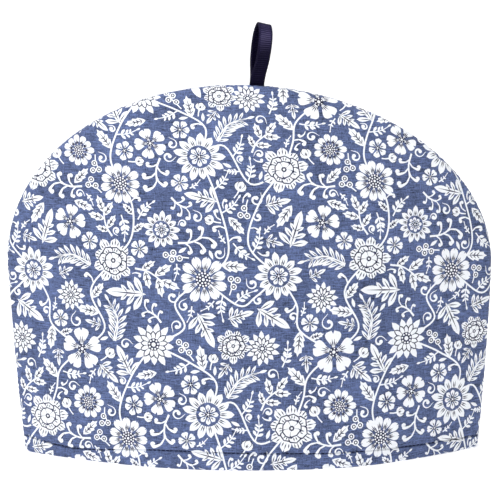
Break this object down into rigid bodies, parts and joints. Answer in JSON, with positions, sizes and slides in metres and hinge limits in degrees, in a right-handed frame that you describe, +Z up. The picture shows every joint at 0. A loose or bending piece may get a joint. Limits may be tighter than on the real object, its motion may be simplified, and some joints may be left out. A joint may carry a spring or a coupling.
{
  "type": "tea cosy",
  "caption": "Padded, domed tea cosy of two sewn cloth panels, open along its stitched hem, with a ribbon hanging loop at the crown.",
  "frame": {"origin": "middle of the open hem, on the surface that the cosy stands on", "axes": "+Z up through the crown, +X along the side-to-side seam to the viewer's right, -Y out of the front panel"},
  "size_m": [0.348, 0.1306, 0.3076],
  "materials": {
    "printed_cotton": "matt cotton with a white flower print",
    "navy_ribbon": "ribbed ribbon with a soft sheen"
  },
  "bodies": {
    "root": {"front_panel": "printed_cotton", "back_panel": "printed_cotton", "hanging_loop": "navy_ribbon"}
  },
  "joints": []
}
